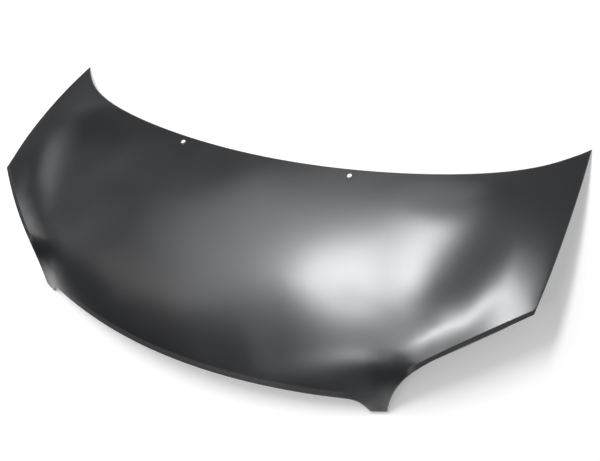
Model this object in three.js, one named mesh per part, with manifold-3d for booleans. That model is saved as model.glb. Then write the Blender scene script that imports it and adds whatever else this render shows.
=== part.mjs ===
import * as THREE from 'three';
import { mergeVertices } from 'three/addons/utils/BufferGeometryUtils.js';
import Module from 'manifold-3d';

// A pressed steel car bonnet, in millimetres. +X is to the left side of the car's nose seen from
// the front, +Y is rearwards and +Z is up. The panel rests on its two rear horns and on the two
// tabs beside the grille. All outline sizes are taken along the lower edge of the panel.

// Outline, half of a symmetric panel
const hornHalfWidth = 760.7;
const hornTipHeight = 0;
const rearSweep = 203;
const rearCrown = 64.6;
const cornerHalfWidth = 750;
const cornerSetback = 422.3;
const cornerHeight = 104.8;
const sideBow = 6;
const tabOuterHalfWidth = 513.5;
const tabWidth = 32;
const tabSetback = 688;
const tabToe = 11;
const grilleHalfWidth = 442;
const grilleEndSetback = 689.5;
const grilleEndHeight = 27.4;
const noseReach = 747.6;
const noseHeight = 59.8;

// Sheet and edges
const skinThickness = 0.75;
const frameThickness = 0.7;
const clearance = 0.3;
const hemReturn = 10;
const edgeRound = 1.1;
const hemTurn = 3;
const noseLipHeight = 16;
const lampLipHeight = 9;
const lipLean = 10;
const lipReturn = 8;
const foldThickness = 2 * skinThickness + frameThickness + 2 * clearance;

// Form of the outer surface: a crowned plateau with a line along its middle and one halfway out,
// a shallow hollow beside a ridge at each side, a valley outside the ridge, and a rise from there
// to the lamp edge. Each line has its highest point at a setback, and falls away from it by so
// much over a run of fallRun.
const rearRise = 59;
const rearPull = 125;
const noseFall = 53.5;
const nosePull = 150;
const innerHalfWidth = 230;
const innerRearSetback = 250;
const innerFrontSetback = 600;
const innerHeight = 113.5;
const innerCrestSetback = 462;
const innerRearFall = 58;
const innerFrontFall = 62.5;
const hollowHalfWidth = 410;
const hollowRearSetback = 230;
const hollowFrontSetback = 580;
const hollowHeight = 108.5;
const hollowCrestSetback = 357.5;
const hollowRearFall = 104;
const hollowFrontFall = 23;
const ridgeRearHalfWidth = 580.5;
const ridgeFrontHalfWidth = 538.5;
const ridgeBow = 32.5;
const ridgeRearSetback = 180;
const ridgeFrontSetback = 550;
const ridgeHeight = 108;
const ridgeCrestSetback = 366.5;
const ridgeRearFall = 78.5;
const ridgeFrontFall = 32;
const valleyRearOffset = 134.5;
const valleyFrontOffset = 29;
const valleyRearSetback = 190;
const valleyFrontSetback = 500;
const valleyHeight = 101.5;
const valleyCrestSetback = 405.5;
const valleyRearFall = 64.5;
const valleyFrontFall = 55;
const bulgeShare = 0.6;
const bulgeRise = 1;
const rollShare = 0.9;
const rollCentreRise = 13;
const rollSideRise = 21.5;
const fallRun = 300;

// Washer jet holes in the skin
const jetBore = 12;
const jetLeft = -229;
const jetRight = 267;
const jetFromEdge = 20;
const jetAccessLength = 74;
const jetAccessWidth = 32;
const jetAccessDepth = 60;
const jetAccessCut = 80;
const jetAccessInset = 1;

// Inner frame
const beamDepth = 24;
const beamWallRun = 14;
const beamTaper = 0.2;
const openingRadius = 30;
const openingLead = 3;
const openingWallRun = 10;
const openingFlange = 11;
const padHeight = 3.6;
const padLength = 28;
const padWidth = 9;
const padRoom = 0.9;
const padLift = 0.4;
const padSegments = 2;
const bondDepth = skinThickness + clearance;
const flangeDepth = bondDepth + padHeight + clearance + padRoom;

// Hinge seats, latch seat and striker
const boltDiameter = 8;
const boltClearance = 1;
const hingePlateLength = 88;
const hingePlateWidth = 42;
const hingeBoltPitch = 52;
const plateThickness = 2;
const latchPlateLength = 130;
const latchPlateWidth = 44;
const strikerPlateLength = 84;
const strikerPlateWidth = 34;
const strikerBoltPitch = 62;
const strikerWire = 8;
const strikerSpan = 34;
const strikerReach = 34;
const strikerBend = 9;
const threadClearance = 0.6;
const shankBeyondNut = 2;
const nutAcross = 13;
const nutHeight = 6.5;
const screwHeadAcross = 13;
const screwHeadHeight = 5.3;
const plateCornerRadius = 6;

// Grid of the pressing: shares across the half width and along the length
const frontCells = 12;
const tabCells = 3;
const tabShareStart = 0.8;
const tabShareEnd = 0.92;
const columnEase = 0.3;
const centreShares = [0.12, 0.26, 0.4, 0.54, 0.68, 0.8, 0.9];
const rollColumns = [0.18, 0.36, 0.54, 0.7];
const plateauSteps = 4;
const halvings = 24;
const ridgeSteps = 6;
const valleySteps = 5;
const cornerShare = 0.5;
const rowShares = [
  0.1, 0.16, 0.22, 0.28, 0.34, 0.4, 0.45, 0.5, 0.55, 0.6, 0.65, 0.7, 0.75, 0.8, 0.85, 0.9, 0.94,
];

const wasm = await Module();
wasm.setup();

const vec = (x, y, z = 0) => new THREE.Vector3(x, y, z);
const lerp = THREE.MathUtils.lerp;
const clamp = THREE.MathUtils.clamp;
const smooth = (value, from, to) => THREE.MathUtils.smoothstep(value, from, to);

// Edge curves, from the lower outline

function evenBlend(s, fourth, tenth) {
  return (1 - fourth - tenth) * s ** 2 + fourth * s ** 4 + tenth * s ** 10;
}

function rearEdge(s) {
  const y = -rearSweep * (1 - evenBlend(s, 0.21, 0.25));
  const z = hornTipHeight + (rearCrown - hornTipHeight) * (1 - evenBlend(s, 1.11, 0.12));
  return vec(hornHalfWidth * s, y, z);
}

const sideCurve = new THREE.CubicBezierCurve3(
  vec(hornHalfWidth, 0, hornTipHeight),
  vec(hornHalfWidth + sideBow + 1.3, -0.343 * cornerSetback, hornTipHeight + 0.538 * cornerHeight),
  vec(cornerHalfWidth + 2 * sideBow, -0.84 * cornerSetback, 1.048 * cornerHeight),
  vec(cornerHalfWidth, -cornerSetback, cornerHeight),
);

// Pull of the lamp edge, as shares of the way from the tab to the corner and of the corner's height
function lampPull(across, along, height) {
  const x = lerp(tabOuterHalfWidth, cornerHalfWidth, across);
  return vec(x, -lerp(tabSetback, cornerSetback, along), height * cornerHeight);
}

const lampCurve = new THREE.CubicBezierCurve3(
  vec(cornerHalfWidth, -cornerSetback, cornerHeight),
  lampPull(0.313, 0.411, 1.087),
  lampPull(0.046, 0.314, 0.927),
  vec(tabOuterHalfWidth, -tabSetback, 0),
);

function grilleEdge(s) {
  const y = -noseReach + (noseReach - grilleEndSetback) * evenBlend(s, -0.03, 0);
  const z = noseHeight - (noseHeight - grilleEndHeight) * evenBlend(s, -0.23, 0);
  return vec(grilleHalfWidth * s, y, z);
}

const tabInnerX = tabOuterHalfWidth - tabWidth;
const tabInnerCurve = new THREE.CubicBezierCurve3(
  vec(grilleHalfWidth, -grilleEndSetback, grilleEndHeight),
  vec(grilleHalfWidth + 16, -grilleEndSetback + 4, grilleEndHeight - 2.5),
  vec(tabInnerX - 7, -tabSetback - tabToe + 5, 0.55 * grilleEndHeight),
  vec(tabInnerX, -tabSetback - tabToe, 0),
);

function frontEdge(s) {
  if (s <= tabShareStart) return grilleEdge(s / tabShareStart);
  if (s <= tabShareEnd) return tabInnerCurve.getPoint((s - tabShareStart) / (tabShareEnd - tabShareStart));
  const share = (s - tabShareEnd) / (1 - tabShareEnd);
  return vec(lerp(tabInnerX, tabOuterHalfWidth, share), -tabSetback - tabToe * (1 - share), 0);
}

function outerEdge(v) {
  if (v <= cornerShare) return sideCurve.getPointAt(v / cornerShare);
  return lampCurve.getPointAt((v - cornerShare) / (1 - cornerShare));
}

// Height of the turned-down edge at each place: the hem is a flat fold, the lips are deeper
function outerEdgeDrop(v) {
  return lerp(foldThickness, lampLipHeight, smooth(v, cornerShare - 0.05, cornerShare));
}

function frontEdgeDrop(s) {
  return lerp(noseLipHeight, lampLipHeight, smooth(s, tabShareStart - 0.1, tabShareEnd));
}

// Direction in which a lip runs down, leaning inwards under the panel
function lipDirection(curve, share) {
  const step = 0.004;
  const ahead = curve(Math.min(share + step, 1));
  const behind = curve(Math.max(share - step, 0));
  const tangent = ahead.sub(behind);
  const inward = vec(-tangent.y, tangent.x, 0).normalize();
  if (inward.y < 0) inward.negate();
  const lean = THREE.MathUtils.degToRad(lipLean);
  return inward.multiplyScalar(Math.sin(lean)).add(vec(0, 0, -Math.cos(lean))).normalize();
}

function creaseOf(side, share) {
  if (side === 'rear') return rearEdge(share).add(vec(0, 0, foldThickness));
  if (side === 'front') {
    return frontEdge(share).addScaledVector(lipDirection(frontEdge, share), -frontEdgeDrop(share));
  }
  const drop = outerEdgeDrop(share);
  if (share < cornerShare - 1e-6) return outerEdge(share).add(vec(0, 0, drop));
  return outerEdge(share).addScaledVector(lipDirection(outerEdge, share), -drop);
}

// The tab's outer corner belongs to both the front and the lamp edge, so both lines end there
const tabCorner = creaseOf('front', 1).add(creaseOf('outer', 1)).multiplyScalar(0.5);
const hornCorner = creaseOf('rear', 1);
const noseCentre = creaseOf('front', 0);
const rearCentre = creaseOf('rear', 0);

function rimPoint(side, share) {
  if (share === 1 && side !== 'rear') return tabCorner.clone();
  if (share === 0 && side === 'outer') return hornCorner.clone();
  return creaseOf(side, share);
}

// Plan of the pressing: a four-sided patch between the edges

function centreLinePlan(v) {
  return vec(0, lerp(rearCentre.y, noseCentre.y, v));
}

function planPoint(u, v) {
  const rear = rimPoint('rear', u);
  const front = rimPoint('front', u);
  const centre = centreLinePlan(v);
  const outer = rimPoint('outer', v);
  const plan = rear.multiplyScalar(1 - v).addScaledVector(front, v);
  plan.addScaledVector(centre, 1 - u).addScaledVector(outer, u);
  plan.addScaledVector(rearCentre, -(1 - u) * (1 - v)).addScaledVector(hornCorner, -u * (1 - v));
  plan.addScaledVector(noseCentre, -(1 - u) * v).addScaledVector(tabCorner, -u * v);
  return vec(plan.x, plan.y);
}

const columnShares = [];
for (let i = 0; i <= frontCells; i += 1) {
  const share = i / frontCells;
  columnShares.push(tabShareStart * share * (1 + columnEase * (1 - share)));
}
for (let i = 1; i <= tabCells; i += 1) {
  columnShares.push(lerp(tabShareStart, tabShareEnd, i / tabCells));
}
const insets = [hemReturn + beamWallRun, hemReturn];
const columnCount = columnShares.length + insets.length;
const rowCount = rowShares.length + 2 * insets.length + 1;

function rowWidth(v) {
  return planPoint(1, v).distanceTo(planPoint(tabShareEnd, v)) / (1 - tabShareEnd);
}

function columnLength(u) {
  return planPoint(u, 0).distanceTo(planPoint(u, 1));
}

function columnShare(index, v) {
  if (index < columnShares.length) return columnShares[index];
  if (index === columnCount) return 1;
  return 1 - insets[index - columnShares.length] / rowWidth(v);
}

function rowShare(index, u) {
  const last = rowCount;
  if (index === 0) return 0;
  if (index === last) return 1;
  const length = columnLength(u);
  if (index <= insets.length) return insets[insets.length - index] / length;
  if (index >= last - insets.length) return 1 - insets[index - (last - insets.length)] / length;
  return rowShares[index - insets.length - 1];
}

const nominalRow = (index) => rowShare(index, 0.5);

function latticePlan(i, j) {
  const side = i < 0 ? -1 : 1;
  const v = rowShare(j, columnShare(Math.abs(i), nominalRow(j)));
  const u = columnShare(Math.abs(i), v);
  const plan = planPoint(u, v);
  return { x: side * plan.x, y: plan.y, u, v };
}

// Height of the outer surface: a thin sheet laid over the rim and a few section lines

function ridgeX(y) {
  const run = (-y - ridgeRearSetback) / (ridgeFrontSetback - ridgeRearSetback);
  return lerp(ridgeRearHalfWidth, ridgeFrontHalfWidth, run) + 4 * ridgeBow * run * (1 - run);
}

const centreCurve = new THREE.CubicBezierCurve3(
  vec(0, rearCentre.y, rearCentre.z),
  vec(0, rearCentre.y - rearPull, rearCentre.z + rearRise),
  vec(0, noseCentre.y + nosePull, noseCentre.z + noseFall),
  vec(0, noseCentre.y, noseCentre.z),
);

// Height along a section line that crests at a setback and falls away from there
function crestLine(height, setback, rearFall, frontFall, y) {
  const run = (y + setback) / fallRun;
  return height - (run > 0 ? rearFall : frontFall) * run * run;
}

// Point of the outer rim that lies straight outwards from a place at y
function rimBeside(y) {
  let near = 0;
  let far = 1;
  for (let k = 0; k < halvings; k += 1) {
    const middle = (near + far) / 2;
    if (rimPoint('outer', middle).y > y) near = middle;
    else far = middle;
  }
  return rimPoint('outer', near);
}

const guides = centreShares.map((share) => centreCurve.getPoint(share));
for (let k = 0; k <= plateauSteps; k += 1) {
  const innerY = -lerp(innerRearSetback, innerFrontSetback, k / plateauSteps);
  const innerZ = crestLine(innerHeight, innerCrestSetback, innerRearFall, innerFrontFall, innerY);
  guides.push(vec(innerHalfWidth, innerY, innerZ));
  const hollowY = -lerp(hollowRearSetback, hollowFrontSetback, k / plateauSteps);
  const hollowZ = crestLine(hollowHeight, hollowCrestSetback, hollowRearFall, hollowFrontFall, hollowY);
  guides.push(vec(hollowHalfWidth, hollowY, hollowZ));
}
for (let k = 0; k <= ridgeSteps; k += 1) {
  const y = -lerp(ridgeRearSetback, ridgeFrontSetback, k / ridgeSteps);
  const z = crestLine(ridgeHeight, ridgeCrestSetback, ridgeRearFall, ridgeFrontFall, y);
  guides.push(vec(ridgeX(y), y, z));
}
for (let k = 0; k <= valleySteps; k += 1) {
  const y = -lerp(valleyRearSetback, valleyFrontSetback, k / valleySteps);
  const x = ridgeX(y) + lerp(valleyRearOffset, valleyFrontOffset, k / valleySteps);
  const z = crestLine(valleyHeight, valleyCrestSetback, valleyRearFall, valleyFrontFall, y);
  const valley = vec(x, y, z);
  guides.push(valley);
  if (k > 0 && k < valleySteps) {
    const bulge = valley.clone().lerp(rimBeside(y), bulgeShare);
    bulge.z += 4 * bulgeShare * (1 - bulgeShare) * bulgeRise;
    guides.push(bulge);
  }
}
for (const u of rollColumns) {
  const plan = planPoint(u, rollShare);
  const run = (u - rollColumns[0]) / (rollColumns[rollColumns.length - 1] - rollColumns[0]);
  const z = rimPoint('front', u).z + lerp(rollCentreRise, rollSideRise, run);
  guides.push(vec(plan.x, plan.y, z));
}

const rimSamples = [];
for (let i = 0; i <= columnCount; i += 1) {
  rimSamples.push(rimPoint('rear', columnShare(i, 0)));
  rimSamples.push(rimPoint('front', columnShare(i, 1)));
}
for (let j = 1; j < rowCount; j += 1) rimSamples.push(rimPoint('outer', rowShare(j, 1)));

function mirrored(points) {
  const all = [];
  for (const point of points) {
    all.push(point);
    if (point.x > 1e-6) all.push(vec(-point.x, point.y, point.z));
  }
  return all;
}

function plateKernel(dx, dy) {
  const square = (dx * dx + dy * dy) * 1e-6;
  return square > 0 ? square * Math.log(square) : 0;
}

function solveLinear(matrix, values) {
  const size = values.length;
  for (let column = 0; column < size; column += 1) {
    let pivot = column;
    for (let row = column + 1; row < size; row += 1) {
      if (Math.abs(matrix[row][column]) > Math.abs(matrix[pivot][column])) pivot = row;
    }
    [matrix[column], matrix[pivot]] = [matrix[pivot], matrix[column]];
    [values[column], values[pivot]] = [values[pivot], values[column]];
    for (let row = column + 1; row < size; row += 1) {
      const factor = matrix[row][column] / matrix[column][column];
      if (factor === 0) continue;
      for (let k = column; k < size; k += 1) matrix[row][k] -= factor * matrix[column][k];
      values[row] -= factor * values[column];
    }
  }
  for (let row = size - 1; row >= 0; row -= 1) {
    for (let k = row + 1; k < size; k += 1) values[row] -= matrix[row][k] * values[k];
    values[row] /= matrix[row][row];
  }
  return values;
}

const knots = mirrored([...rimSamples, ...guides]);

function fitSheet(points) {
  const size = points.length + 3;
  const matrix = [];
  const values = [];
  for (const point of points) {
    const row = points.map((other) => plateKernel(point.x - other.x, point.y - other.y));
    row.push(1, point.x * 1e-3, point.y * 1e-3);
    matrix.push(row);
    values.push(point.z);
  }
  const affine = [() => 1, (point) => point.x * 1e-3, (point) => point.y * 1e-3];
  for (const term of affine) {
    const row = points.map(term);
    row.push(0, 0, 0);
    matrix.push(row);
    values.push(0);
  }
  const solved = solveLinear(matrix, values);
  return { weights: solved.slice(0, points.length), affine: solved.slice(points.length, size) };
}

const sheet = fitSheet(knots);

function sheetHeight(x, y) {
  let height = sheet.affine[0] + sheet.affine[1] * x * 1e-3 + sheet.affine[2] * y * 1e-3;
  for (let k = 0; k < knots.length; k += 1) {
    height += sheet.weights[k] * plateKernel(x - knots[k].x, y - knots[k].y);
  }
  return height;
}

function sheetNormal(x, y) {
  const step = 2;
  const slopeX = (sheetHeight(x + step, y) - sheetHeight(x - step, y)) / (2 * step);
  const slopeY = (sheetHeight(x, y + step) - sheetHeight(x, y - step)) / (2 * step);
  return vec(-slopeX, -slopeY, 1).normalize();
}

// Shared grid of surface points and normals

const grid = new Map();
const key = (i, j) => `${i},${j}`;
for (let i = 0; i <= columnCount; i += 1) {
  for (let j = 0; j <= rowCount; j += 1) {
    const plan = latticePlan(i, j);
    const point = vec(plan.x, plan.y, sheetHeight(plan.x, plan.y));
    const normal = sheetNormal(plan.x, plan.y);
    grid.set(key(i, j), { point, normal });
    if (i > 0) {
      const mirrorPoint = vec(-point.x, point.y, point.z);
      grid.set(key(-i, j), { point: mirrorPoint, normal: vec(-normal.x, normal.y, normal.z) });
    }
  }
}

// Near the skin a depth is taken square to it, and the deeper rest of a beam hangs straight down
function sunk(point, normal, depth) {
  const square = Math.min(depth, flangeDepth + frameThickness);
  return point.clone().addScaledVector(normal, -square).add(vec(0, 0, square - depth));
}

function underSurface(i, j, depth) {
  const node = grid.get(key(i, j));
  return sunk(node.point, node.normal, depth);
}

// Rim, as one closed loop of grid places counter-clockwise seen from above
const rim = [];
for (let i = -columnCount; i < columnCount; i += 1) rim.push([i, rowCount]);
for (let j = rowCount; j > 0; j -= 1) rim.push([columnCount, j]);
for (let i = columnCount; i > -columnCount; i -= 1) rim.push([i, 0]);
for (let j = 0; j < rowCount; j += 1) rim.push([-columnCount, j]);

function towards(value, limit) {
  return clamp(value, -limit, limit);
}

function rimFrame([i, j]) {
  const here = grid.get(key(i, j));
  const inner = grid.get(key(towards(i, columnCount - 1), clamp(j, 1, rowCount - 1)));
  const into = inner.point.clone().sub(here.point).divideScalar(hemReturn);
  const mirror = i < 0 ? -1 : 1;
  const outer = Math.abs(i) === columnCount;
  const v = rowShare(j, 1);
  const lip = j === rowCount || (outer && v >= cornerShare - 1e-6);
  let down = here.normal.clone().negate();
  let drop = foldThickness;
  if (lip) {
    const u = columnShare(Math.abs(i), 1);
    if (j === rowCount) {
      down = lipDirection(frontEdge, u);
      drop = frontEdgeDrop(u);
    } else {
      down = lipDirection(outerEdge, v);
      drop = outerEdgeDrop(v);
    }
    down.x *= mirror;
  } else if (outer) {
    drop = outerEdgeDrop(v);
  }
  const along = into.clone().normalize();
  const angleSine = Math.sqrt(1 - along.dot(down) ** 2);
  const across = along.clone().addScaledVector(down, -along.dot(down)).normalize();
  across.multiplyScalar(into.length());
  return { here, inner, into, down, drop, lip, angleSine, across };
}

const rimFrames = rim.map(rimFrame);

// Mesh helper: closed solid from shared points

class SolidBuilder {
  constructor() {
    this.points = [];
    this.index = [];
    this.lookup = new Map();
  }

  add(point) {
    const name = `${point.x.toFixed(4)},${point.y.toFixed(4)},${point.z.toFixed(4)}`;
    if (!this.lookup.has(name)) {
      this.lookup.set(name, this.points.length);
      this.points.push(point.clone());
    }
    return this.lookup.get(name);
  }

  triangle(a, b, c) {
    if (a === b || b === c || a === c) return;
    this.index.push(a, b, c);
  }

  quad(a, b, c, d) {
    const first = this.points[a].distanceTo(this.points[c]);
    const second = this.points[b].distanceTo(this.points[d]);
    if (first <= second) {
      this.triangle(a, b, c);
      this.triangle(a, c, d);
    } else {
      this.triangle(a, b, d);
      this.triangle(b, c, d);
    }
  }

  // Strip between two closed loops with the same count, faces to the right of first to second.
  // Nested strips name their split, so that all their cells bend along the same diagonal.
  band(first, second, split = 'shortest') {
    for (let k = 0; k < first.length; k += 1) {
      const next = (k + 1) % first.length;
      const [a, b, c, d] = [first[k], first[next], second[next], second[k]];
      if (split === 'shortest') {
        this.quad(a, b, c, d);
      } else if (split === 'forwards') {
        this.triangle(a, b, c);
        this.triangle(a, c, d);
      } else {
        this.triangle(a, b, d);
        this.triangle(b, c, d);
      }
    }
  }

  geometry() {
    const geometry = new THREE.BufferGeometry();
    const positions = this.points.flatMap((point) => [point.x, point.y, point.z]);
    geometry.setAttribute('position', new THREE.Float32BufferAttribute(positions, 3));
    geometry.setIndex(this.index);
    return geometry;
  }
}

function bare(geometry) {
  const copy = geometry.clone();
  for (const name of Object.keys(copy.attributes)) {
    if (name !== 'position') copy.deleteAttribute(name);
  }
  return mergeVertices(copy, 1e-4);
}

function toManifold(geometry) {
  const clean = bare(geometry);
  return new wasm.Manifold(new wasm.Mesh({
    numProp: 3,
    vertProperties: new Float32Array(clean.attributes.position.array),
    triVerts: new Uint32Array(clean.index.array),
  }));
}

function fromManifold(solid) {
  const mesh = solid.getMesh();
  const geometry = new THREE.BufferGeometry();
  geometry.setAttribute('position', new THREE.BufferAttribute(new Float32Array(mesh.vertProperties), 3));
  geometry.setIndex(new THREE.BufferAttribute(new Uint32Array(mesh.triVerts), 1));
  return geometry;
}

function cut(geometry, tools) {
  let solid = toManifold(geometry);
  for (const tool of tools) solid = solid.subtract(toManifold(tool));
  return fromManifold(solid);
}

// Outer skin

function surfaceFaces(builder, place, upwards, keep = () => true) {
  for (let i = -columnCount; i < columnCount; i += 1) {
    for (let j = 0; j < rowCount; j += 1) {
      if (!keep(i, j)) continue;
      const a = builder.add(place(i, j));
      const b = builder.add(place(i, j + 1));
      const c = builder.add(place(i + 1, j + 1));
      const d = builder.add(place(i + 1, j));
      if (upwards) builder.quad(a, b, c, d);
      else builder.quad(d, c, b, a);
    }
  }
}

const onRim = (i, j) => Math.abs(i) === columnCount || j === 0 || j === rowCount;
const rimIndex = new Map(rim.map(([i, j], index) => [key(i, j), index]));

// A point beside the crease, clear of the surface and of the turned edge by the same distance
function cornerPoint(frame, distance) {
  const { here, into, down, angleSine } = frame;
  const offset = into.clone().add(down).multiplyScalar(distance / angleSine);
  return here.point.clone().add(offset);
}

function alongSurface(frame, run, depth) {
  const { here, inner, into } = frame;
  const share = run / hemReturn;
  const normal = here.normal.clone().lerp(inner.normal, share).normalize();
  return here.point.clone().addScaledVector(into, run).addScaledVector(normal, -depth);
}

function skinSection(frame) {
  const { here, into, down, drop, lip, across, angleSine } = frame;
  const inside = foldThickness - skinThickness;
  const lowered = (length) => here.point.clone().addScaledVector(down, length);
  if (!lip) {
    const low = lowered(drop);
    const turn = alongSurface(frame, hemTurn, 0).sub(here.point);
    return [
      alongSurface(frame, edgeRound, 0),
      lowered(edgeRound),
      lowered(drop - edgeRound),
      low.clone().addScaledVector(turn, edgeRound / hemTurn),
      low.clone().add(turn),
      alongSurface(frame, hemReturn, foldThickness),
      alongSurface(frame, hemReturn, inside),
      alongSurface(frame, hemTurn, inside),
      lowered(drop - skinThickness).addScaledVector(across, skinThickness),
      cornerPoint(frame, skinThickness),
    ];
  }
  const underFrame = bondDepth + frameThickness + clearance;
  const nearest = (underFrame + foldThickness * into.dot(down)) / angleSine;
  const raised = Math.max(drop - lipReturn, nearest + clearance);
  return [
    alongSurface(frame, edgeRound, 0),
    lowered(edgeRound),
    lowered(drop - edgeRound),
    lowered(drop).addScaledVector(across, edgeRound),
    lowered(drop).addScaledVector(across, foldThickness),
    lowered(raised).addScaledVector(across, foldThickness),
    lowered(raised).addScaledVector(across, inside),
    lowered(drop - skinThickness).addScaledVector(across, inside),
    lowered(drop - skinThickness).addScaledVector(across, skinThickness),
    cornerPoint(frame, skinThickness),
  ];
}

function buildSkin() {
  const builder = new SolidBuilder();
  const sections = rimFrames.map(skinSection);
  const outerPlace = (i, j) => (onRim(i, j) ? sections[rimIndex.get(key(i, j))][0] : underSurface(i, j, 0));
  const innerPlace = (i, j) => {
    if (!onRim(i, j)) return underSurface(i, j, skinThickness);
    return sections[rimIndex.get(key(i, j))].at(-1);
  };
  surfaceFaces(builder, outerPlace, true);
  surfaceFaces(builder, innerPlace, false);
  const steps = sections[0].length;
  for (let m = 0; m < steps - 1; m += 1) {
    const first = sections.map((section) => builder.add(section[m]));
    const second = sections.map((section) => builder.add(section[m + 1]));
    builder.band(second, first, 'forwards');
  }
  return builder.geometry();
}

function drill(place, normal, diameter, length, sides = 24) {
  const tool = new THREE.CylinderGeometry(diameter / 2, diameter / 2, length, sides);
  tool.applyQuaternion(new THREE.Quaternion().setFromUnitVectors(vec(0, 1, 0), normal));
  return tool.translate(place.x, place.y, place.z);
}

// Place on the outer surface at a given distance in from the rear edge
function behindRearEdge(x, distance) {
  const edge = rimPoint('rear', Math.abs(x) / hornHalfWidth);
  const y = edge.y - distance;
  return { point: vec(x, y, sheetHeight(x, y)), normal: sheetNormal(x, y) };
}

const jets = [jetLeft, jetRight].map((x) => behindRearEdge(x, jetFromEdge));

// Inner frame

// Beams lose their depth towards the pointed corners of the panel
function depthAt(plan, ring) {
  if (ring <= 1) return bondDepth;
  const toTab = Math.hypot(Math.abs(plan.x) - tabCorner.x, plan.y - tabCorner.y);
  const toHorn = Math.hypot(Math.abs(plan.x) - hornCorner.x, plan.y - hornCorner.y);
  return Math.min(beamDepth, bondDepth + beamTaper * toTab, bondDepth + beamTaper * toHorn);
}

const ringOf = (i, j) => Math.min(columnCount - Math.abs(i), j, rowCount - j);

// Openings as blocks of the grid: first and last column, first and last row
const halfOpenings = [
  [1, 5, 3, 9],
  [2, 5, 11, 16],
  [6, 10, 4, 9],
  [6, 10, 11, 16],
  [11, 14, 7, 13],
];
const openings = halfOpenings.flatMap((block) => {
  const [i0, i1, j0, j1] = block;
  return [{ i0, i1, j0, j1 }, { i0: -i1, i1: -i0, j0, j1 }];
});

const inOpening = (i, j) => openings.some((o) => i >= o.i0 && i < o.i1 && j >= o.j0 && j < o.j1);

// Flat seats pressed into the floor of the beams
function makeSeat(i0, i1, j0, j1) {
  const centre = vec(0, 0);
  const corners = [[i0, j0], [i1, j0], [i1, j1], [i0, j1]];
  const points = corners.map(([i, j]) => underSurface(i, j, depthAt(grid.get(key(i, j)).point, 2)));
  points.forEach((point) => centre.addScaledVector(point, 0.25));
  const diagonalA = points[2].clone().sub(points[0]);
  const diagonalB = points[3].clone().sub(points[1]);
  const normal = diagonalA.cross(diagonalB).normalize();
  if (normal.z < 0) normal.negate();
  const lengthwise = points[3].clone().add(points[2]).sub(points[0]).sub(points[1]);
  const along = lengthwise.projectOnPlane(normal).normalize();
  const across = along.clone().cross(normal).normalize();
  return { i0, i1, j0, j1, centre, normal, along, across };
}

const hingeSeats = { left: makeSeat(14, 16, 4, 6), right: makeSeat(-16, -14, 4, 6) };
const latchSeat = makeSeat(-2, 2, 17, 20);
const seats = [hingeSeats.left, hingeSeats.right, latchSeat];

function framePlace(i, j, below) {
  const node = grid.get(key(i, j));
  const seat = seats.find((s) => i >= s.i0 && i <= s.i1 && j >= s.j0 && j <= s.j1);
  const depth = depthAt(node.point, ringOf(i, j));
  if (!seat) return underSurface(i, j, depth + below);
  const point = underSurface(i, j, depth);
  const lift = point.clone().sub(seat.centre).dot(seat.normal);
  return point.addScaledVector(seat.normal, -lift - below);
}

// Point of the outer surface, or under it, anywhere in the grid
function betweenPlaces(i, j, depth) {
  const i0 = Math.floor(i);
  const j0 = Math.floor(j);
  const i1 = Math.min(i0 + 1, columnCount);
  const j1 = Math.min(j0 + 1, rowCount);
  const corner = (a, b) => grid.get(key(a, b)).point;
  const near = corner(i0, j0).clone().lerp(corner(i1, j0), i - i0);
  const far = corner(i0, j1).clone().lerp(corner(i1, j1), i - i0);
  const plan = near.lerp(far, j - j0);
  const point = vec(plan.x, plan.y, sheetHeight(plan.x, plan.y));
  return sunk(point, sheetNormal(plan.x, plan.y), depth);
}

// Rounded outline inside a block, at an inset from the block's sides, with its local angles
function roundedLoop(block, inset, radius, depth) {
  const { i0, i1, j0, j1 } = block;
  const middleI = (i0 + i1) / 2;
  const middleJ = (j0 + j1) / 2;
  const width = betweenPlaces(i0, middleJ, 0).distanceTo(betweenPlaces(i1, middleJ, 0));
  const length = betweenPlaces(middleI, j0, 0).distanceTo(betweenPlaces(middleI, j1, 0));
  const halfWidth = width / 2 - inset;
  const halfLength = length / 2 - inset;
  const round = Math.min(radius, halfWidth, halfLength);
  const outline = [];
  const arcSteps = 3;
  const sideSteps = 3;
  const signs = [[1, -1], [1, 1], [-1, 1], [-1, -1]];
  signs.forEach(([sx, sy], corner) => {
    const centreX = sx * (halfWidth - round);
    const centreY = sy * (halfLength - round);
    const start = -Math.PI / 2 + corner * Math.PI / 2;
    for (let k = 0; k <= arcSteps; k += 1) {
      const angle = start + (Math.PI / 2) * (k / arcSteps);
      outline.push([centreX + round * Math.cos(angle), centreY + round * Math.sin(angle)]);
    }
    const next = signs[(corner + 1) % 4];
    const [fromX, fromY] = outline.at(-1);
    const end = start + Math.PI / 2;
    const toX = next[0] * (halfWidth - round) + round * Math.cos(end);
    const toY = next[1] * (halfLength - round) + round * Math.sin(end);
    for (let k = 1; k < sideSteps; k += 1) {
      outline.push([lerp(fromX, toX, k / sideSteps), lerp(fromY, toY, k / sideSteps)]);
    }
  });
  return outline.map(([x, y]) => {
    const i = middleI + (x / width) * (i1 - i0);
    const j = middleJ + (y / length) * (j1 - j0);
    return { point: betweenPlaces(i, j, depth), angle: Math.atan2(y / length, x / width) };
  });
}

function blockLoop(block, below) {
  const { i0, i1, j0, j1 } = block;
  const places = [];
  for (let i = i0; i < i1; i += 1) places.push([i, j0]);
  for (let j = j0; j < j1; j += 1) places.push([i1, j]);
  for (let i = i1; i > i0; i -= 1) places.push([i, j1]);
  for (let j = j1; j > j0; j -= 1) places.push([i0, j]);
  return places.map(([i, j]) => {
    const x = (i - (i0 + i1) / 2) / (i1 - i0);
    const y = (j - (j0 + j1) / 2) / (j1 - j0);
    return { point: framePlace(i, j, below), angle: Math.atan2(y, x) };
  });
}

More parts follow.
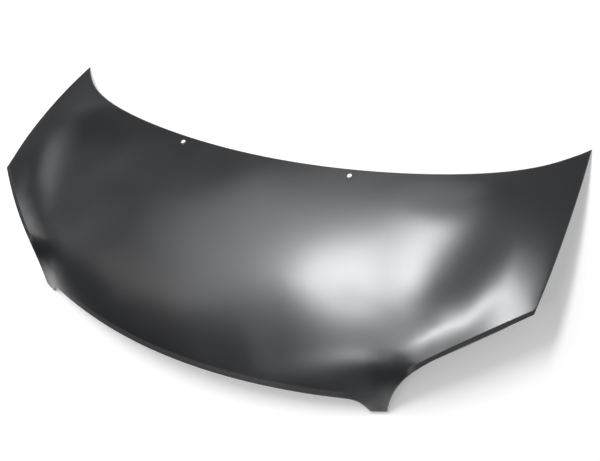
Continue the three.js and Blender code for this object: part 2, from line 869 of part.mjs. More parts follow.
// Joins two closed loops that turn the same way but hold different numbers of points
function stitch(builder, outerLoop, innerLoop, upwards) {
  const full = 2 * Math.PI;
  const start = outerLoop[0].angle;
  const relative = (item) => (((item.angle - start) % full) + full) % full;
  let first = 0;
  for (let k = 1; k < innerLoop.length; k += 1) {
    if (relative(innerLoop[k]) < relative(innerLoop[first])) first = k;
  }
  const rotated = innerLoop.map((_, k) => innerLoop[(k + first) % innerLoop.length]);
  const outerIds = outerLoop.map((item) => builder.add(item.point));
  const innerIds = rotated.map((item) => builder.add(item.point));
  const outerTurn = (k) => (k < outerLoop.length ? relative(outerLoop[k]) : full);
  const innerTurn = (k) => (k < rotated.length ? relative(rotated[k]) : full + relative(rotated[0]));
  let a = 0;
  let b = 0;
  while (a < outerLoop.length || b < rotated.length) {
    const outerFirst = a < outerLoop.length && outerTurn(a + 1) <= innerTurn(b + 1);
    const stepOuter = b >= rotated.length || outerFirst;
    const o = outerIds[a % outerIds.length];
    const n = innerIds[b % innerIds.length];
    let third;
    if (stepOuter) {
      a += 1;
      third = outerIds[a % outerIds.length];
    } else {
      b += 1;
      third = innerIds[b % innerIds.length];
    }
    if (upwards) builder.triangle(o, third, n);
    else builder.triangle(o, n, third);
  }
}

const openingRings = openings.map((block) => {
  const wallTop = openingLead + openingWallRun;
  const edge = wallTop + openingFlange;
  const radii = [openingRadius + edge - openingLead, openingRadius + openingFlange, openingRadius];
  const loops = (below) => [
    roundedLoop(block, openingLead, radii[0], beamDepth + below),
    roundedLoop(block, wallTop, radii[1], flangeDepth + below),
    roundedLoop(block, edge, radii[2], flangeDepth + below),
  ];
  return { block, top: loops(0), bottom: loops(frameThickness) };
});

function frameSection(frame) {
  const { here, down, drop, lip, across, into } = frame;
  const low = bondDepth + frameThickness;
  if (!lip) {
    const top = cornerPoint(frame, bondDepth);
    const bottom = here.point.clone().addScaledVector(into, bondDepth).addScaledVector(down, low);
    return [top, top, bottom, bottom];
  }
  const reach = drop - skinThickness - clearance - frameThickness;
  const foot = here.point.clone().addScaledVector(down, reach);
  return [
    cornerPoint(frame, bondDepth),
    foot.clone().addScaledVector(across, bondDepth),
    foot.clone().addScaledVector(across, low),
    cornerPoint(frame, low),
  ];
}

function buildFrame() {
  const builder = new SolidBuilder();
  const sections = rimFrames.map(frameSection);
  const keep = (i, j) => !inOpening(i, j);
  const topPlace = (i, j) => (onRim(i, j) ? sections[rimIndex.get(key(i, j))][0] : framePlace(i, j, 0));
  const lowPlace = (i, j) => {
    if (onRim(i, j)) return sections[rimIndex.get(key(i, j))][3];
    return framePlace(i, j, frameThickness);
  };
  surfaceFaces(builder, topPlace, true, keep);
  surfaceFaces(builder, lowPlace, false, keep);
  for (let m = 0; m < 3; m += 1) {
    const first = sections.map((section) => builder.add(section[m]));
    const second = sections.map((section) => builder.add(section[m + 1]));
    builder.band(second, first, 'backwards');
  }
  for (const { block, top, bottom } of openingRings) {
    stitch(builder, blockLoop(block, 0), top[0], false);
    stitch(builder, blockLoop(block, frameThickness), bottom[0], true);
    const topIds = top.map((loop) => loop.map((item) => builder.add(item.point)));
    const lowIds = bottom.map((loop) => loop.map((item) => builder.add(item.point)));
    for (let m = 0; m < 2; m += 1) {
      builder.band(topIds[m + 1], topIds[m]);
      builder.band(lowIds[m], lowIds[m + 1]);
    }
    builder.band(lowIds[2], topIds[2]);
  }
  return builder.geometry();
}

const group = new THREE.Group();
const coatBlack = new THREE.MeshStandardMaterial({ color: 0x1e1f21, roughness: 0.35, metalness: 0.1 });
const mastic = new THREE.MeshStandardMaterial({ color: 0x2a2a2b, roughness: 0.9, metalness: 0 });
const zinc = new THREE.MeshStandardMaterial({ color: 0x8d9093, roughness: 0.4, metalness: 0.9 });

function addMesh(name, geometry, material) {
  const mesh = new THREE.Mesh(geometry, material);
  mesh.name = name;
  group.add(mesh);
  return mesh;
}

// Slots in the rear beam that leave the jet holes open from below
function jetAccess(jet) {
  const { x } = jet.point;
  const edge = rimPoint('rear', Math.abs(x) / hornHalfWidth);
  const beyond = rimPoint('rear', Math.abs(x) / hornHalfWidth + 0.02);
  const turn = Math.sign(x) * Math.atan2(beyond.y - edge.y, beyond.x - edge.x);
  const round = jetAccessWidth / 2;
  const run = jetAccessLength / 2 - round;
  const slot = new THREE.Shape();
  slot.absarc(run, 0, round, -Math.PI / 2, Math.PI / 2, false);
  slot.absarc(-run, 0, round, Math.PI / 2, 1.5 * Math.PI, false);
  const tool = new THREE.ExtrudeGeometry(slot, { depth: jetAccessCut, bevelEnabled: false, curveSegments: 6 });
  tool.rotateZ(turn);
  const inset = hemReturn + jetAccessInset + round;
  return tool.translate(x - run / 3, edge.y - inset, jet.point.z - jetAccessDepth);
}

// Puts a shape drawn in a seat's plane, X across and Y along the seat, at a height over the seat
function onSeat(geometry, seat, x, y, lift) {
  const basis = new THREE.Matrix4().makeBasis(seat.across, seat.along, seat.normal);
  const place = seat.centre.clone();
  place.addScaledVector(seat.across, x).addScaledVector(seat.along, y).addScaledVector(seat.normal, lift);
  return geometry.applyMatrix4(basis.setPosition(place));
}

function roundedRectangle(width, length, radius) {
  const x = width / 2 - radius;
  const y = length / 2 - radius;
  const shape = new THREE.Shape();
  shape.absarc(x, y, radius, 0, Math.PI / 2, false);
  shape.absarc(-x, y, radius, Math.PI / 2, Math.PI, false);
  shape.absarc(-x, -y, radius, Math.PI, 1.5 * Math.PI, false);
  shape.absarc(x, -y, radius, 1.5 * Math.PI, 2 * Math.PI, false);
  return shape;
}

function plate(width, length, holes) {
  const shape = roundedRectangle(width, length, plateCornerRadius);
  for (const [x, y] of holes) {
    const hole = new THREE.Path();
    hole.absarc(x, y, (boltDiameter + boltClearance) / 2, 0, 2 * Math.PI, true);
    shape.holes.push(hole);
  }
  return new THREE.ExtrudeGeometry(shape, { depth: plateThickness, bevelEnabled: false, curveSegments: 5 });
}

function hexagon(acrossFlats) {
  const radius = acrossFlats / Math.sqrt(3);
  const shape = new THREE.Shape();
  for (let k = 0; k < 6; k += 1) {
    const angle = (Math.PI / 3) * k;
    if (k === 0) shape.moveTo(radius * Math.cos(angle), radius * Math.sin(angle));
    else shape.lineTo(radius * Math.cos(angle), radius * Math.sin(angle));
  }
  shape.closePath();
  return shape;
}

function nut() {
  const shape = hexagon(nutAcross);
  const bore = new THREE.Path();
  bore.absarc(0, 0, (boltDiameter + threadClearance) / 2, 0, 2 * Math.PI, true);
  shape.holes.push(bore);
  return new THREE.ExtrudeGeometry(shape, { depth: nutHeight, bevelEnabled: false, curveSegments: 8 });
}

const plateLift = clearance;
const nutLift = plateLift + plateThickness + clearance;
const strikerPlateLift = -frameThickness - clearance - plateThickness;
const screwHeadTop = strikerPlateLift - clearance;

function screw() {
  const outline = hexagon(screwHeadAcross);
  const head = new THREE.ExtrudeGeometry(outline, { depth: screwHeadHeight, bevelEnabled: false });
  head.translate(0, 0, -screwHeadHeight);
  const length = nutLift + nutHeight + shankBeyondNut - screwHeadTop + screwHeadHeight / 2;
  const shank = new THREE.CylinderGeometry(boltDiameter / 2, boltDiameter / 2, length, 20);
  shank.rotateX(Math.PI / 2).translate(0, 0, length / 2 - screwHeadHeight / 2);
  return fromManifold(toManifold(head).add(toManifold(shank)));
}

// Wire loop that the latch closes on: two legs and a crossbar with round bends
function strikerLoop() {
  const half = strikerSpan / 2;
  const path = new THREE.CurvePath();
  const corner = (sx) => vec(sx * half, 0, -strikerReach);
  const legEnd = (sx) => vec(sx * half, 0, -strikerReach + strikerBend);
  const barEnd = (sx) => vec(sx * (half - strikerBend), 0, -strikerReach);
  path.add(new THREE.LineCurve3(vec(-half, 0, 0), legEnd(-1)));
  path.add(new THREE.QuadraticBezierCurve3(legEnd(-1), corner(-1), barEnd(-1)));
  path.add(new THREE.LineCurve3(barEnd(-1), barEnd(1)));
  path.add(new THREE.QuadraticBezierCurve3(barEnd(1), corner(1), legEnd(1)));
  path.add(new THREE.LineCurve3(legEnd(1), vec(half, 0, 0)));
  const wire = new THREE.Shape();
  wire.absarc(0, 0, strikerWire / 2, 0, 2 * Math.PI, false);
  return new THREE.ExtrudeGeometry(wire, { steps: 24, curveSegments: 4, extrudePath: path });
}

function masticPad(ring, side) {
  const [, wallLoop, edgeLoop] = ring.top;
  const first = side * 6 + 4;
  const corners = [wallLoop[first], wallLoop[first + 1], edgeLoop[first], edgeLoop[first + 1]];
  const centre = vec(0, 0);
  corners.forEach((corner) => centre.addScaledVector(corner.point, 0.25));
  const along = wallLoop[first + 1].point.clone().sub(wallLoop[first].point).normalize();
  const normal = edgeLoop[first].point.clone().sub(wallLoop[first].point).cross(along).normalize();
  if (normal.z < 0) normal.negate();
  const across = along.clone().cross(normal).normalize();
  const shape = roundedRectangle(padWidth, padLength, padWidth / 2 - 0.01);
  const options = { depth: padHeight, bevelEnabled: false, curveSegments: padSegments };
  const geometry = new THREE.ExtrudeGeometry(shape, options);
  return onSeat(geometry, { centre, across, along, normal }, 0, 0, padLift);
}

const hingeHoles = [[0, -hingeBoltPitch / 2], [0, hingeBoltPitch / 2]];
const latchHoles = [[-strikerBoltPitch / 2, 0], [strikerBoltPitch / 2, 0]];

function boltTools(seat, holes) {
  return holes.map(([x, y]) => {
    const place = seat.centre.clone().addScaledVector(seat.across, x).addScaledVector(seat.along, y);
    return drill(place, seat.normal, boltDiameter + boltClearance, 12);
  });
}

const jetTools = jets.map((jet) => drill(jet.point, jet.normal, jetBore, 20, 20));
addMesh('outer_skin', cut(buildSkin(), jetTools), coatBlack);
const frameTools = [
  ...jets.map(jetAccess),
  ...boltTools(hingeSeats.left, hingeHoles),
  ...boltTools(hingeSeats.right, hingeHoles),
  ...boltTools(latchSeat, latchHoles),
];
addMesh('inner_frame', cut(buildFrame(), frameTools), coatBlack);

for (const [side, seat] of Object.entries(hingeSeats)) {
  const hingePlate = plate(hingePlateWidth, hingePlateLength, hingeHoles);
  addMesh(`hinge_reinforcement_${side}`, onSeat(hingePlate, seat, 0, 0, plateLift), coatBlack);
  hingeHoles.forEach(([x, y], index) => {
    const place = index === 0 ? 'rear' : 'front';
    addMesh(`hinge_weld_nut_${side}_${place}`, onSeat(nut(), seat, x, y, nutLift), coatBlack);
  });
}

const latchPlate = plate(latchPlateLength, latchPlateWidth, latchHoles);
addMesh('latch_reinforcement', onSeat(latchPlate, latchSeat, 0, 0, plateLift), coatBlack);
const strikerPlate = plate(strikerPlateLength, strikerPlateWidth, latchHoles);
addMesh('striker_plate', onSeat(strikerPlate, latchSeat, 0, 0, strikerPlateLift), zinc);
addMesh('striker_loop', onSeat(strikerLoop(), latchSeat, 0, 0, strikerPlateLift - clearance), zinc);
latchHoles.forEach(([x, y], index) => {
  const side = index === 0 ? 'right' : 'left';
  addMesh(`striker_screw_${side}`, onSeat(screw(), latchSeat, x, y, screwHeadTop), zinc);
  addMesh(`striker_weld_nut_${side}`, onSeat(nut(), latchSeat, x, y, nutLift), coatBlack);
});

let padNumber = 0;
for (const ring of openingRings) {
  for (const side of [0, 2]) {
    padNumber += 1;
    const name = `mastic_pad_${String(padNumber).padStart(2, '0')}`;
    addMesh(name, masticPad(ring, side), mastic);
  }
}

// The panel's own frame: origin under the middle of its plan, on the surface it rests on
const extent = new THREE.Box3().setFromObject(group);
const middle = extent.getCenter(vec(0, 0));
group.position.set(-middle.x, -middle.y, -extent.min.z);

export default group;
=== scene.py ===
import math

import bmesh
import bpy
from mathutils import Matrix, Vector


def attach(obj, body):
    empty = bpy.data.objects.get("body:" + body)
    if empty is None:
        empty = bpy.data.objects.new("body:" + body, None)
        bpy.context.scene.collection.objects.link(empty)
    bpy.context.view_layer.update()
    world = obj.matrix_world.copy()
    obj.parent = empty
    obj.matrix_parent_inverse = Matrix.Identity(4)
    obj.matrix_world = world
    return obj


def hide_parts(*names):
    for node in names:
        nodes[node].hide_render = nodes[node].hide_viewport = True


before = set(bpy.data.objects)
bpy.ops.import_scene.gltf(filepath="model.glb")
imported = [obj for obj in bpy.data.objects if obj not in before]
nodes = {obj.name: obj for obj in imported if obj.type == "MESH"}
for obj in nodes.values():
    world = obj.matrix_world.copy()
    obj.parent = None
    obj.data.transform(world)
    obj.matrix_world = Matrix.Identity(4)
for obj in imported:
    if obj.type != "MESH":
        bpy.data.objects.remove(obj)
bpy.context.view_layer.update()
print("frame loaded:", len(nodes), "nodes")


# camera: lens and place that lay the panel's outline over the photograph's
cameraSetup = {
    "lens": 39.0,
    "sensor": 36.0,
    "place": (0.868663, -0.352284, 1.405275),
    "turn": (22.4305, 19.9999, 22.2815),
}

cameraData = bpy.data.cameras.new("camera")
cameraData.sensor_width = cameraSetup["sensor"]
cameraData.lens = cameraSetup["lens"]
camera = bpy.data.objects.new("camera", cameraData)
camera.location = cameraSetup["place"]
camera.rotation_euler = [math.radians(a) for a in cameraSetup["turn"]]
bpy.context.scene.collection.objects.link(camera)
bpy.context.scene.camera = camera
print("camera placed")


def newTree(name):
    material = bpy.data.materials.new(name)
    material.use_nodes = True
    tree = material.node_tree
    return material, tree, tree.nodes["Principled BSDF"]


def addNode(tree, kind, **inputs):
    node = tree.nodes.new(kind)
    for key, value in inputs.items():
        node.inputs[key].default_value = value
    return node


# one sum in a node tree; each value is a number or the socket that gives it
def addMath(tree, operation, *values):
    node = tree.nodes.new("ShaderNodeMath")
    node.operation = operation
    for socket, value in zip(node.inputs, values):
        if isinstance(value, float):
            socket.default_value = value
        else:
            tree.links.new(value, socket)
    return node.outputs[0]


def addRange(tree, value, start, end, low, high):
    node = tree.nodes.new("ShaderNodeMapRange")
    for name, number in (("From Min", start), ("From Max", end), ("To Min", low), ("To Max", high)):
        node.inputs[name].default_value = number
    tree.links.new(value, node.inputs["Value"])
    return node


# fine waves and grain of a sprayed coat, and a slow cloud that shifts its tone
peelSetup = {"wavesUsual": 300.0, "grainUsual": 2500.0, "grainShare": 0.25, "cloudScale": 5.0}


def makeOrangePeel():
    group = bpy.data.node_groups.new("orangePeel", "ShaderNodeTree")
    face = group.interface
    usual = {"Waves per metre": peelSetup["wavesUsual"], "Grain per metre": peelSetup["grainUsual"]}
    for name, value in usual.items():
        socket = face.new_socket(name=name, in_out="INPUT", socket_type="NodeSocketFloat")
        socket.default_value = value
    face.new_socket(name="Vector", in_out="INPUT", socket_type="NodeSocketVector")
    face.new_socket(name="Height", in_out="OUTPUT", socket_type="NodeSocketFloat")
    face.new_socket(name="Cloud", in_out="OUTPUT", socket_type="NodeSocketFloat")
    start = group.nodes.new("NodeGroupInput")
    end = group.nodes.new("NodeGroupOutput")
    wave = addNode(group, "ShaderNodeTexNoise", Detail=1.0, Roughness=0.4)
    grain = addNode(group, "ShaderNodeTexNoise", Detail=0.0)
    cloud = addNode(
        group, "ShaderNodeTexNoise", Scale=peelSetup["cloudScale"], Detail=3.0, Roughness=0.55
    )
    links = group.links
    for node in (wave, grain, cloud):
        links.new(start.outputs["Vector"], node.inputs["Vector"])
    links.new(start.outputs["Waves per metre"], wave.inputs["Scale"])
    links.new(start.outputs["Grain per metre"], grain.inputs["Scale"])
    height = addMath(
        group, "MULTIPLY_ADD", grain.outputs["Fac"], peelSetup["grainShare"], wave.outputs["Fac"]
    )
    links.new(height, end.inputs["Height"])
    links.new(cloud.outputs["Fac"], end.inputs["Cloud"])
    return group


orangePeel = makeOrangePeel()

# edges seen in plan: the straight one over the lamp by turn and metres from the origin,
# the nose by its middle and how fast it falls back to the sides
edgeLines = {
    "lampTurn": -42.2,
    "lampReach": 0.539,
    "tabStart": 0.545,
    "tabFade": 50.0,
    "noseMiddle": 0.3749,
    "noseBow": 0.3,
    "noseEnd": 0.44,
    "noseFade": 40.0,
    "overhang": 0.004,
    "sharpness": 700.0,
}


# metres from the edge over the lamp, square to it in plan, growing inwards
def insideLampEdge(place):
    turn = math.radians(edgeLines["lampTurn"])
    return edgeLines["lampReach"] + math.sin(turn) * abs(place.x) + math.cos(turn) * place.y


# masks of the narrow flange along the edge over each lamp, where shade is painted near black, and
# of the lip along the nose, where a highlight is painted lighter
def makeShadeAndHighlightBands():
    group = bpy.data.node_groups.new("shadeAndHighlightBands", "ShaderNodeTree")
    face = group.interface
    face.new_socket(name="Vector", in_out="INPUT", socket_type="NodeSocketVector")
    for name in ("Lamp width", "Nose width"):
        face.new_socket(name=name, in_out="INPUT", socket_type="NodeSocketFloat")
    for name in ("Lamp", "Nose"):
        face.new_socket(name=name, in_out="OUTPUT", socket_type="NodeSocketFloat")
    start = group.nodes.new("NodeGroupInput")
    end = group.nodes.new("NodeGroupOutput")
    links = group.links

    def solve(operation, *values):
        return addMath(group, operation, *values)

    def clamp(value):
        node = group.nodes.new("ShaderNodeClamp")
        links.new(value, node.inputs["Value"])
        return node.outputs[0]

    # 1 between the line and the width, with edges that fade over a millimetre or so
    def strip(depth, width):
        inner = solve("MULTIPLY", solve("SUBTRACT", width, depth), edgeLines["sharpness"])
        outer = solve("ADD", depth, edgeLines["overhang"])
        outer = solve("MULTIPLY", outer, edgeLines["sharpness"])
        return clamp(solve("MINIMUM", inner, outer))

    split = group.nodes.new("ShaderNodeSeparateXYZ")
    links.new(start.outputs["Vector"], split.inputs[0])
    across = solve("ABSOLUTE", split.outputs["X"])
    turn = math.radians(edgeLines["lampTurn"])
    lampDepth = solve("MULTIPLY_ADD", split.outputs["Y"], math.cos(turn), edgeLines["lampReach"])
    lampDepth = solve("MULTIPLY_ADD", across, math.sin(turn), lampDepth)
    # the nose mask places the painted highlight along the lip
    noseDepth = solve("ADD", split.outputs["Y"], edgeLines["noseMiddle"])
    noseFall = solve("MULTIPLY", across, across)
    noseDepth = solve("MULTIPLY_ADD", noseFall, -edgeLines["noseBow"], noseDepth)
    # the straight edge ends where the tab begins, and so does the lip of the nose
    beyond = solve("SUBTRACT", across, edgeLines["tabStart"])
    beyond = solve("MULTIPLY", beyond, edgeLines["tabFade"])
    lampStrip = strip(lampDepth, start.outputs["Lamp width"])
    links.new(clamp(solve("MINIMUM", lampStrip, beyond)), end.inputs["Lamp"])
    short = solve("SUBTRACT", edgeLines["noseEnd"], across)
    short = solve("MULTIPLY", short, edgeLines["noseFade"])
    noseStrip = strip(noseDepth, start.outputs["Nose width"])
    links.new(clamp(solve("MINIMUM", noseStrip, short)), end.inputs["Nose"])
    return group


shadeAndHighlightBands = makeShadeAndHighlightBands()

cloudSpan = (0.3, 0.7)  # part of the cloud's values that the roughness follows


# coat or metal from its dictionary; the outer coat alone has the two edge bands: painted shade
# along each lamp edge and a painted highlight along the nose lip
def makeCoat(name, look):
    material, tree, shader = newTree(name)
    links = tree.links
    place = tree.nodes.new("ShaderNodeTexCoord")
    peel = tree.nodes.new("ShaderNodeGroup")
    peel.node_tree = orangePeel
    peel.inputs["Waves per metre"].default_value = look["waves"]
    peel.inputs["Grain per metre"].default_value = look["grain"]
    links.new(place.outputs["Object"], peel.inputs["Vector"])
    tint = tree.nodes.new("ShaderNodeMix")
    tint.data_type = "RGBA"
    tint.inputs["A"].default_value = (*look["dark"], 1)
    tint.inputs["B"].default_value = (*look["light"], 1)
    links.new(peel.outputs["Cloud"], tint.inputs["Factor"])
    colour = tint.outputs["Result"]
    if "lampShadeBand" in look:
        bands = tree.nodes.new("ShaderNodeGroup")
        bands.node_tree = shadeAndHighlightBands
        bands.inputs["Lamp width"].default_value = look["lampShadeBand"]
        bands.inputs["Nose width"].default_value = look["noseHighlightBand"]
        links.new(place.outputs["Object"], bands.inputs["Vector"])
        # painted shade along each lamp edge and a painted highlight along the nose lip, mixed into
        # the coat colour
        for mask, tone in (("Lamp", look["lampShadeTone"]), ("Nose", look["noseHighlightTone"])):
            shift = tree.nodes.new("ShaderNodeMix")
            shift.data_type = "RGBA"
            shift.inputs["B"].default_value = (*tone, 1)
            links.new(bands.outputs[mask], shift.inputs["Factor"])
            links.new(colour, shift.inputs["A"])
            colour = shift.outputs["Result"]
    links.new(colour, shader.inputs["Base Color"])
    spread = addRange(tree, peel.outputs["Cloud"], *cloudSpan, *look["roughness"])
    roughness = spread.outputs["Result"]
    # the painted shade band over each lamp is also made rough, so its reflections go dull
    if "lampShadeBand" in look:
        duller = tree.nodes.new("ShaderNodeMix")
        duller.inputs["B"].default_value = look["lampShadeRoughness"]
        links.new(bands.outputs["Lamp"], duller.inputs["Factor"])
        links.new(roughness, duller.inputs["A"])
        roughness = duller.outputs["Result"]
    links.new(roughness, shader.inputs["Roughness"])
    bump = addNode(tree, "ShaderNodeBump", Strength=look["bump"], Distance=look["depth"])
    links.new(peel.outputs["Height"], bump.inputs["Height"])
    links.new(bump.outputs["Normal"], shader.inputs["Normal"])
    shader.inputs["Specular IOR Level"].default_value = look["specular"]
    shader.inputs["IOR"].default_value = look.get("ior", 1.5)
    shader.inputs["Metallic"].default_value = look.get("metallic", 0.0)
    return material


coatLook = {
    "dark": (0.0115, 0.012, 0.0135),
    "light": (0.016, 0.0167, 0.0182),
    "roughness": (0.28, 0.31),
    "specular": 0.8,
    "ior": 1.7,
    "waves": 260.0,
    "grain": 2200.0,
    "bump": 0.12,
    "depth": 0.0001,
    # painted shade: a near-black, rough band along the flange over each lamp
    "lampShadeBand": 0.0075,
    "lampShadeTone": (0.002, 0.002, 0.0022),
    "lampShadeRoughness": 0.95,
    # painted highlight: a lighter band along the lip of the nose
    "noseHighlightBand": 0.013,
    "noseHighlightTone": (0.042, 0.042, 0.044),
}
undersideLook = {
    "dark": (0.015, 0.0155, 0.0165),
    "light": (0.028, 0.0285, 0.03),
    "roughness": (0.38, 0.5),
    "specular": 0.7,
    "waves": 200.0,
    "grain": 1600.0,
    "bump": 0.3,
    "depth": 0.0002,
}
zincLook = {
    "dark": (0.42, 0.43, 0.44),
    "light": (0.62, 0.62, 0.61),
    "roughness": (0.32, 0.5),
    "specular": 0.5,
    "metallic": 1.0,
    "waves": 700.0,
    "grain": 4000.0,
    "bump": 0.25,
    "depth": 0.0001,
}
masticLook = {
    "dark": (0.035, 0.035, 0.037),
    "light": (0.07, 0.07, 0.071),
    "roughness": (0.7, 0.9),
    "specular": 0.4,
    "waves": 500.0,
    "grain": 3000.0,
    "bump": 0.6,
    "depth": 0.0004,
}
coat = makeCoat("blackPrimer", coatLook)
undersideCoat = makeCoat("blackPrimerUnderside", undersideLook)
zinc = makeCoat("zincSteel", zincLook)
mastic = makeCoat("masticPad", masticLook)
print("materials made")


sheetSetup = {"mergeBelow": 0.00002, "flatAngle": 0.5, "quadAngle": 3.1}

# outer skin: the pressed sheet made smooth, with its folds kept tight
skinSetup = {
    "creaseAngle": 32.0,
    "crease": 1.0,
    "levels": 2,
    "softPlace": (0.6, -0.115),
    "softRings": ((0.07, 2), (0.045, 4)),
    "edgeKept": 0.014,
}


# evens out the height where the valley runs into the edge over the lamp, on both sides
def soften(bm, setup):
    spotX, spotY = setup["softPlace"]
    for reach, rounds in setup["softRings"]:
        near = []
        for vert in bm.verts:
            away = math.hypot(abs(vert.co.x) - spotX, vert.co.y - spotY)
            if away < reach and insideLampEdge(vert.co) > setup["edgeKept"]:
                near.append(vert)
        for turn in range(rounds):
            bmesh.ops.smooth_vert(bm, verts=near, factor=0.5, use_axis_z=True)


# smooth copy of a pressed node: its triangles are joined to quads and its folds creased
def sheetFromNode(name, nodeName, setup, material):
    bm = bmesh.new()
    bm.from_mesh(nodes[nodeName].data)
    bmesh.ops.remove_doubles(bm, verts=bm.verts, dist=sheetSetup["mergeBelow"])
    bmesh.ops.join_triangles(
        bm,
        faces=bm.faces,
        angle_face_threshold=sheetSetup["flatAngle"],
        angle_shape_threshold=sheetSetup["quadAngle"],
    )
    if "softRings" in setup:
        soften(bm, setup)
    crease = bm.edges.layers.float.new("crease_edge")
    foldAngle = math.radians(setup["creaseAngle"])
    for edge in bm.edges:
        if len(edge.link_faces) == 2 and edge.calc_face_angle(0) > foldAngle:
            edge[crease] = setup["crease"]
    mesh = bpy.data.meshes.new(name)
    bm.to_mesh(mesh)
    bm.free()
    piece = bpy.data.objects.new(name, mesh)
    bpy.context.scene.collection.objects.link(piece)
    mesh.materials.append(material)
    for face in mesh.polygons:
        face.use_smooth = True
    smooth = piece.modifiers.new("smooth", "SUBSURF")
    smooth.levels = smooth.render_levels = setup["levels"]
    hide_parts(nodeName)
    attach(piece, "root")


sheetFromNode("skinPressing", "outer_skin", skinSetup, coat)
print("skin made")

frameSetup = {"creaseAngle": 60.0, "crease": 1.0, "levels": 1}
sheetFromNode("innerPressing", "inner_frame", frameSetup, undersideCoat)
print("inner frame made")


# small parts: broken edges on the stamped and turned ones
hardwareSetup = {"edge": 0.0004, "edgeSegments": 2, "edgeAngle": 40.0}


def dress(nodeName, material, broken):
    piece = nodes[nodeName]
    piece.data.materials.clear()
    piece.data.materials.append(material)
    if broken:
        edge = piece.modifiers.new("brokenEdges", "BEVEL")
        edge.width = hardwareSetup["edge"]
        edge.segments = hardwareSetup["edgeSegments"]
        edge.limit_method = "ANGLE"
        edge.angle_limit = math.radians(hardwareSetup["edgeAngle"])


for name in nodes:
    if name in ("outer_skin", "inner_frame"):
        continue
    if name.startswith("mastic_pad"):
        dress(name, mastic, False)
    elif "screw" in name or "nut" in name or name == "striker_loop":
        dress(name, zinc, name != "striker_loop")
    else:
        dress(name, undersideCoat, True)
print("small parts dressed")


# floor, world and lights
studio = {
    "floorSize": 24.0,
    "floorTone": (0.9, 0.885, 0.865),
    "floorLift": 0.28,
    "horizon": 0.5,
    "horizonSpan": (0.1, 0.3),
    "overhead": 0.02,
    "right": 0.42,
    "rightSpan": (-0.2, 0.5),
    "left": 1.1,
    "leftSpan": (-0.93, -0.72),
    "leftRear": (0.2, 0.5),
    "leftFront": (-0.3, -0.05),
    "skyTint": (0.93, 0.955, 1.0),
    "lampDistance": 3.0,
    "lampTint": (0.965, 0.975, 1.0),
}

bm = bmesh.new()
bmesh.ops.create_grid(bm, x_segments=1, y_segments=1, size=studio["floorSize"] / 2)
floorMesh = bpy.data.meshes.new("floor")
bm.to_mesh(floorMesh)
bm.free()
floor = bpy.data.objects.new("floor", floorMesh)
bpy.context.scene.collection.objects.link(floor)
floorMaterial, floorTree, floorShader = newTree("floorPaper")
floorShader.inputs["Base Color"].default_value = (*studio["floorTone"], 1)
floorShader.inputs["Roughness"].default_value = 1.0
floorShader.inputs["Specular IOR Level"].default_value = 0.0
rays = floorTree.nodes.new("ShaderNodeLightPath")
seen = rays.outputs["Is Camera Ray"]
for name in ("Is Glossy Ray", "Is Transmission Ray"):
    seen = addMath(floorTree, "ADD", seen, rays.outputs[name])
    seen.node.use_clamp = True
glow = addMath(floorTree, "MULTIPLY", seen, studio["floorLift"])
floorTree.links.new(glow, floorShader.inputs["Emission Strength"])
floorShader.inputs["Emission Color"].default_value = (1.0, 1.0, 1.0, 1)
floorMesh.materials.append(floorMaterial)

world = bpy.data.worlds.new("studio")
bpy.context.scene.world = world
world.use_nodes = True
sky = world.node_tree
skyPlace = sky.nodes.new("ShaderNodeTexCoord")
skySplit = sky.nodes.new("ShaderNodeSeparateXYZ")
sky.links.new(skyPlace.outputs["Generated"], skySplit.inputs[0])


# one soft step of the studio walls' tone along an axis, from one level to another
def skyStep(axis, span, low, high):
    step = addRange(sky, skySplit.outputs[axis], *span, low, high)
    step.interpolation_type = "SMOOTHSTEP"
    return step.outputs["Result"]


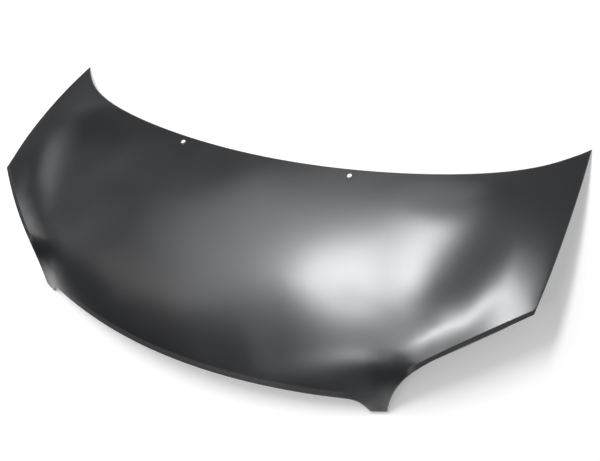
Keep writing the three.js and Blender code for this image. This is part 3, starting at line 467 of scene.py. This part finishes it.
rightWall = skyStep("X", studio["rightSpan"], 0.0, studio["right"])
leftWall = skyStep("X", studio["leftSpan"], studio["left"], 0.0)
for span, low, high in ((studio["leftRear"], 1.0, 0.0), (studio["leftFront"], 0.0, 1.0)):
    leftWall = addMath(sky, "MULTIPLY", leftWall, skyStep("Y", span, low, high))
horizon = skyStep("Z", studio["horizonSpan"], studio["horizon"], 0.0)
level = addMath(sky, "ADD", rightWall, studio["overhead"])
level = addMath(sky, "ADD", level, leftWall)
level = addMath(sky, "MAXIMUM", level, horizon)
sky.nodes["Background"].inputs["Color"].default_value = (*studio["skyTint"], 1)
sky.links.new(level, sky.nodes["Background"].inputs["Strength"])


# each panel: tilts from straight overhead and turn in its plane in radians, size, radiance
panels = {
    "softboxTop": {"tilt": (-0.14, 0.31), "turn": -0.18, "size": (0.45, 2.15), "radiance": 17.5},
    "stripFront": {"tilt": (-0.09, -0.13), "turn": -1.22, "size": (2.9, 0.45), "radiance": 4.0},
    "sheetLeft": {"tilt": (-0.4, 0.51), "turn": -0.34, "size": (0.9, 5.0), "radiance": 1.5},
    "stripNose": {"tilt": (0.09, -0.56), "turn": -0.1, "size": (0.4, 0.3), "radiance": 12.5},
    "sheetLow": {"tilt": (-1.287, -0.29), "turn": 0.0, "size": (0.5, 0.6), "radiance": 3.0},
    "spotLeft": {"tilt": (-0.69, -0.29), "turn": 0.6, "size": (0.7, 0.3), "radiance": 1.4},
    "sheetRear": {"tilt": (0.04, 0.74), "turn": 0.0, "size": (0.35, 0.9), "radiance": 1.6},
}
panels["spotLeft"]["tint"] = (1.0, 0.94, 0.92)


# lamp panel that faces the object
def addPanel(name, setup):
    tiltX, tiltY = setup["tilt"]
    turn = setup["turn"]
    upright = math.cos(tiltX)
    way = Vector((math.sin(tiltX), math.sin(tiltY) * upright, math.cos(tiltY) * upright))
    side = (Vector((1, 0, 0)) - way * way.x).normalized()
    front = way.cross(side)
    wide = side * math.cos(turn) + front * math.sin(turn)
    long = front * math.cos(turn) - side * math.sin(turn)
    data = bpy.data.lights.new(name, "AREA")
    data.shape = "RECTANGLE"
    data.size, data.size_y = setup["size"]
    data.energy = setup["radiance"] * math.pi * data.size * data.size_y
    data.color = setup.get("tint", studio["lampTint"])
    lamp = bpy.data.objects.new(name, data)
    lamp.location = way * studio["lampDistance"]
    lamp.rotation_euler = Matrix((wide, long, way)).transposed().to_euler()
    bpy.context.scene.collection.objects.link(lamp)


for name, setup in panels.items():
    addPanel(name, setup)
bpy.context.scene.view_settings.view_transform = "Standard"
print("studio made")
